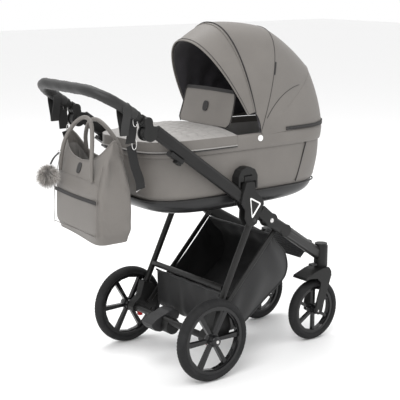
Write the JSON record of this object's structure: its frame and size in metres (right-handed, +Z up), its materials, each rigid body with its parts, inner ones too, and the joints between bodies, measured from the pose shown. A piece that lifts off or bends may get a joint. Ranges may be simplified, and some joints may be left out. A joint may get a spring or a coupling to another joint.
{
  "type": "baby stroller",
  "caption": "Folding pram chassis with swivel front wheels, removable carrycot with folding hood, tilting handle, under-basket and a hanging tote bag.",
  "frame": {"origin": "on the ground, under the middle of the whole pram", "axes": "+X towards the front wheels, +Y to the left side, +Z up"},
  "size_m": [1.175, 0.598, 1.25],
  "materials": {
    "chassis_metal": "satin black powder coat",
    "steel_pin": "plain",
    "black_plastic": "fine grain",
    "grey_plastic": "fine grain",
    "white_plastic": "smooth",
    "red_plastic": "smooth",
    "rim_plastic": "smooth",
    "tyre_rubber": "matte foamed rubber",
    "footplate_rubber": "ribbed",
    "grip_leather": "fine grain",
    "taupe_leather": "soft imitation leather",
    "quilted_fabric": "quilted",
    "mattress_fabric": "soft",
    "basket_fabric": "coated cloth",
    "base_plastic": "fine grain",
    "black_webbing": "webbing",
    "fur": "long pile"
  },
  "bodies": {
    "upper_frame": {"main_tube_left": "chassis_metal", "main_tube_right": "chassis_metal", "hub_left": "black_plastic", "hub_right": "black_plastic", "hub_badges": "white_plastic", "carrycot_adapters": "black_plastic", "fold_plates": "black_plastic", "handle_sockets": "black_plastic", "pivot_pins": "steel_pin"},
    "handle": {"handle_tube": "chassis_metal", "handle_knuckles": "black_plastic", "grip_cover": "grip_leather"},
    "front_frame": {"front_tube_left": "chassis_metal", "front_tube_right": "chassis_metal", "swivel_housings": "black_plastic", "footplate": "footplate_rubber"},
    "rear_frame": {"rear_leg_left": "chassis_metal", "rear_leg_right": "chassis_metal", "rear_crossbar": "chassis_metal"},
    "rear_axle": {"rear_axle_tube": "chassis_metal", "suspension_housings": "black_plastic", "rear_axle_pins": "steel_pin", "brake_housing": "black_plastic"},
    "brake_pedal": {"brake_pedal": "grey_plastic"},
    "stays": {"stays": "chassis_metal", "basket": "basket_fabric"},
    "carrycot": {"carrycot_shell": "taupe_leather", "carrycot_base": "base_plastic", "mattress": "mattress_fabric", "apron": "quilted_fabric", "hood_rear": "taupe_leather", "carrycot_brackets": "black_plastic", "hood_knobs": "white_plastic"},
    "wind_flap": {"wind_flap": "taupe_leather"},
    "hood_middle": {"hood_middle": "taupe_leather"},
    "hood_front": {"hood_front": "taupe_leather"},
    "bag_straps": {"bag_straps": "black_webbing"},
    "bag": {"bag_body": "taupe_leather", "bag_handles": "taupe_leather"},
    "pompom": {"pompom": "fur"},
    "release_lever_left": {"release_lever_left": "black_plastic"},
    "handle_button_left": {"handle_button_left": "grey_plastic"},
    "swivel_lock_left": {"swivel_lock_left": "grey_plastic"},
    "fork_left": {"fork_left": "black_plastic", "front_axle_left": "steel_pin"},
    "front_wheel_left": {"front_rim_left": "rim_plastic", "front_tyre_left": "tyre_rubber"},
    "rear_wheel_left": {"rear_rim_left": "rim_plastic", "rear_tyre_left": "tyre_rubber"},
    "wheel_release_left": {"wheel_release_left": "red_plastic"},
    "release_lever_right": {"release_lever_right": "black_plastic"},
    "handle_button_right": {"handle_button_right": "grey_plastic"},
    "swivel_lock_right": {"swivel_lock_right": "grey_plastic"},
    "fork_right": {"fork_right": "black_plastic", "front_axle_right": "steel_pin"},
    "front_wheel_right": {"front_rim_right": "rim_plastic", "front_tyre_right": "tyre_rubber"},
    "rear_wheel_right": {"rear_rim_right": "rim_plastic", "rear_tyre_right": "tyre_rubber"},
    "wheel_release_right": {"wheel_release_right": "red_plastic"}
  },
  "joints": [
    {"name": "fold", "type": "hinge", "parent": "upper_frame", "child": "front_frame", "pos_m": [0.172, 0, 0.537], "axis": [0, 1, 0], "range_deg": [0, 110], "deforming": ["basket"]},
    {"name": "rear_leg_fold", "type": "hinge", "parent": "upper_frame", "child": "rear_frame", "pos_m": [0.088, 0, 0.55], "axis": [0, 1, 0], "range_deg": [0, 70]},
    {"name": "stay_fold", "type": "hinge", "parent": "front_frame", "child": "stays", "pos_m": [0.228, 0, 0.485], "axis": [0, 1, 0], "range_deg": [-55, 0]},
    {"name": "carrycot_lift", "type": "slide", "parent": "upper_frame", "child": "carrycot", "axis": [0, 0, 1], "range_m": [0, 0.5]},
    {"name": "handle_tilt", "type": "hinge", "parent": "upper_frame", "child": "handle", "pos_m": [-0.362, 0, 0.905], "axis": [0, 1, 0], "range_deg": [-60, 10]},
    {"name": "bag_hang", "type": "hinge", "parent": "handle", "child": "bag_straps", "pos_m": [-0.427, 0, 0.98], "axis": [0, 1, 0], "range_deg": [-10, 60]},
    {"name": "bag_unhook", "type": "slide", "parent": "bag_straps", "child": "bag", "axis": [-1, 0, 0], "range_m": [0, 0.35]},
    {"name": "pompom_swing", "type": "hinge", "parent": "bag", "child": "pompom", "pos_m": [-0.508, 0.115, 0.807], "axis": [0, 1, 0], "range_deg": [0, 50]},
    {"name": "hood_front_fold", "type": "hinge", "parent": "carrycot", "child": "hood_front", "pos_m": [0.146, 0, 0.846], "axis": [0, 1, 0], "range_deg": [0, 70]},
    {"name": "hood_middle_fold", "type": "hinge", "parent": "carrycot", "child": "hood_middle", "pos_m": [0.146, 0, 0.846], "axis": [0, 1, 0], "range_deg": [0, 35]},
    {"name": "wind_flap_tilt", "type": "hinge", "parent": "carrycot", "child": "wind_flap", "pos_m": [0.047, 0, 0.881], "axis": [0, 1, 0], "range_deg": [-75, 0]},
    {"name": "rear_suspension", "type": "slide", "parent": "rear_frame", "child": "rear_axle", "axis": [0.4378, 0, 0.8991], "range_m": [0, 0.015], "stiffness_N_per_m": 18000, "springref_m": -0.012},
    {"name": "brake_press", "type": "hinge", "parent": "rear_axle", "child": "brake_pedal", "pos_m": [-0.122, 0, 0.15], "axis": [0, 1, 0], "range_deg": [-14, 0]},
    {"name": "release_left", "type": "slide", "parent": "upper_frame", "child": "release_lever_left", "axis": [-0.8089, 0, 0.5879], "range_m": [0, 0.012], "stiffness_N_per_m": 300, "springref_m": -0.006},
    {"name": "button_left", "type": "slide", "parent": "handle", "child": "handle_button_left", "axis": [0, 1, 0], "range_m": [0, 0.003], "stiffness_N_per_m": 600, "springref_m": -0.002},
    {"name": "swivel_lock_flip_left", "type": "hinge", "parent": "front_frame", "child": "swivel_lock_left", "pos_m": [0.473, 0.16, 0.303], "axis": [0, 1, 0], "range_deg": [-20, 0]},
    {"name": "swivel_left", "type": "hinge", "parent": "front_frame", "child": "fork_left", "pos_m": [0.504, 0.16, 0.3], "axis": [0, 0, 1], "continuous": true},
    {"name": "front_spin_left", "type": "hinge", "parent": "fork_left", "child": "front_wheel_left", "pos_m": [0.466, 0.16, 0.121], "axis": [0, 1, 0], "continuous": true},
    {"name": "rear_spin_left", "type": "hinge", "parent": "rear_axle", "child": "rear_wheel_left", "pos_m": [-0.122, 0.2665, 0.15], "axis": [0, 1, 0], "continuous": true},
    {"name": "wheel_release_press_left", "type": "slide", "parent": "rear_axle", "child": "wheel_release_left", "axis": [0, 0, 1], "range_m": [0, 0.003], "stiffness_N_per_m": 500, "springref_m": -0.002},
    {"name": "release_right", "type": "slide", "parent": "upper_frame", "child": "release_lever_right", "axis": [-0.8089, 0, 0.5879], "range_m": [0, 0.012], "stiffness_N_per_m": 300, "springref_m": -0.006},
    {"name": "button_right", "type": "slide", "parent": "handle", "child": "handle_button_right", "axis": [0, -1, 0], "range_m": [0, 0.003], "stiffness_N_per_m": 600, "springref_m": -0.002},
    {"name": "swivel_lock_flip_right", "type": "hinge", "parent": "front_frame", "child": "swivel_lock_right", "pos_m": [0.473, -0.16, 0.303], "axis": [0, 1, 0], "range_deg": [-20, 0]},
    {"name": "swivel_right", "type": "hinge", "parent": "front_frame", "child": "fork_right", "pos_m": [0.504, -0.16, 0.3], "axis": [0, 0, 1], "continuous": true},
    {"name": "front_spin_right", "type": "hinge", "parent": "fork_right", "child": "front_wheel_right", "pos_m": [0.466, -0.16, 0.121], "axis": [0, 1, 0], "continuous": true},
    {"name": "rear_spin_right", "type": "hinge", "parent": "rear_axle", "child": "rear_wheel_right", "pos_m": [-0.122, -0.2665, 0.15], "axis": [0, 1, 0], "continuous": true},
    {"name": "wheel_release_press_right", "type": "slide", "parent": "rear_axle", "child": "wheel_release_right", "axis": [0, 0, 1], "range_m": [0, 0.003], "stiffness_N_per_m": 500, "springref_m": -0.002}
  ],
  "couplings": [
    {"joint": "rear_leg_fold", "follows": "fold", "ratio": 0.63636},
    {"joint": "stay_fold", "follows": "fold", "ratio": -0.5},
    {"joint": "carrycot_lift", "follows": "fold", "m_per_rad": 0.2602},
    {"joint": "bag_unhook", "follows": "fold", "m_per_rad": 0.1821},
    {"joint": "bag_hang", "follows": "handle_tilt", "ratio": -1},
    {"joint": "hood_middle_fold", "follows": "hood_front_fold", "ratio": 0.5}
  ]
}
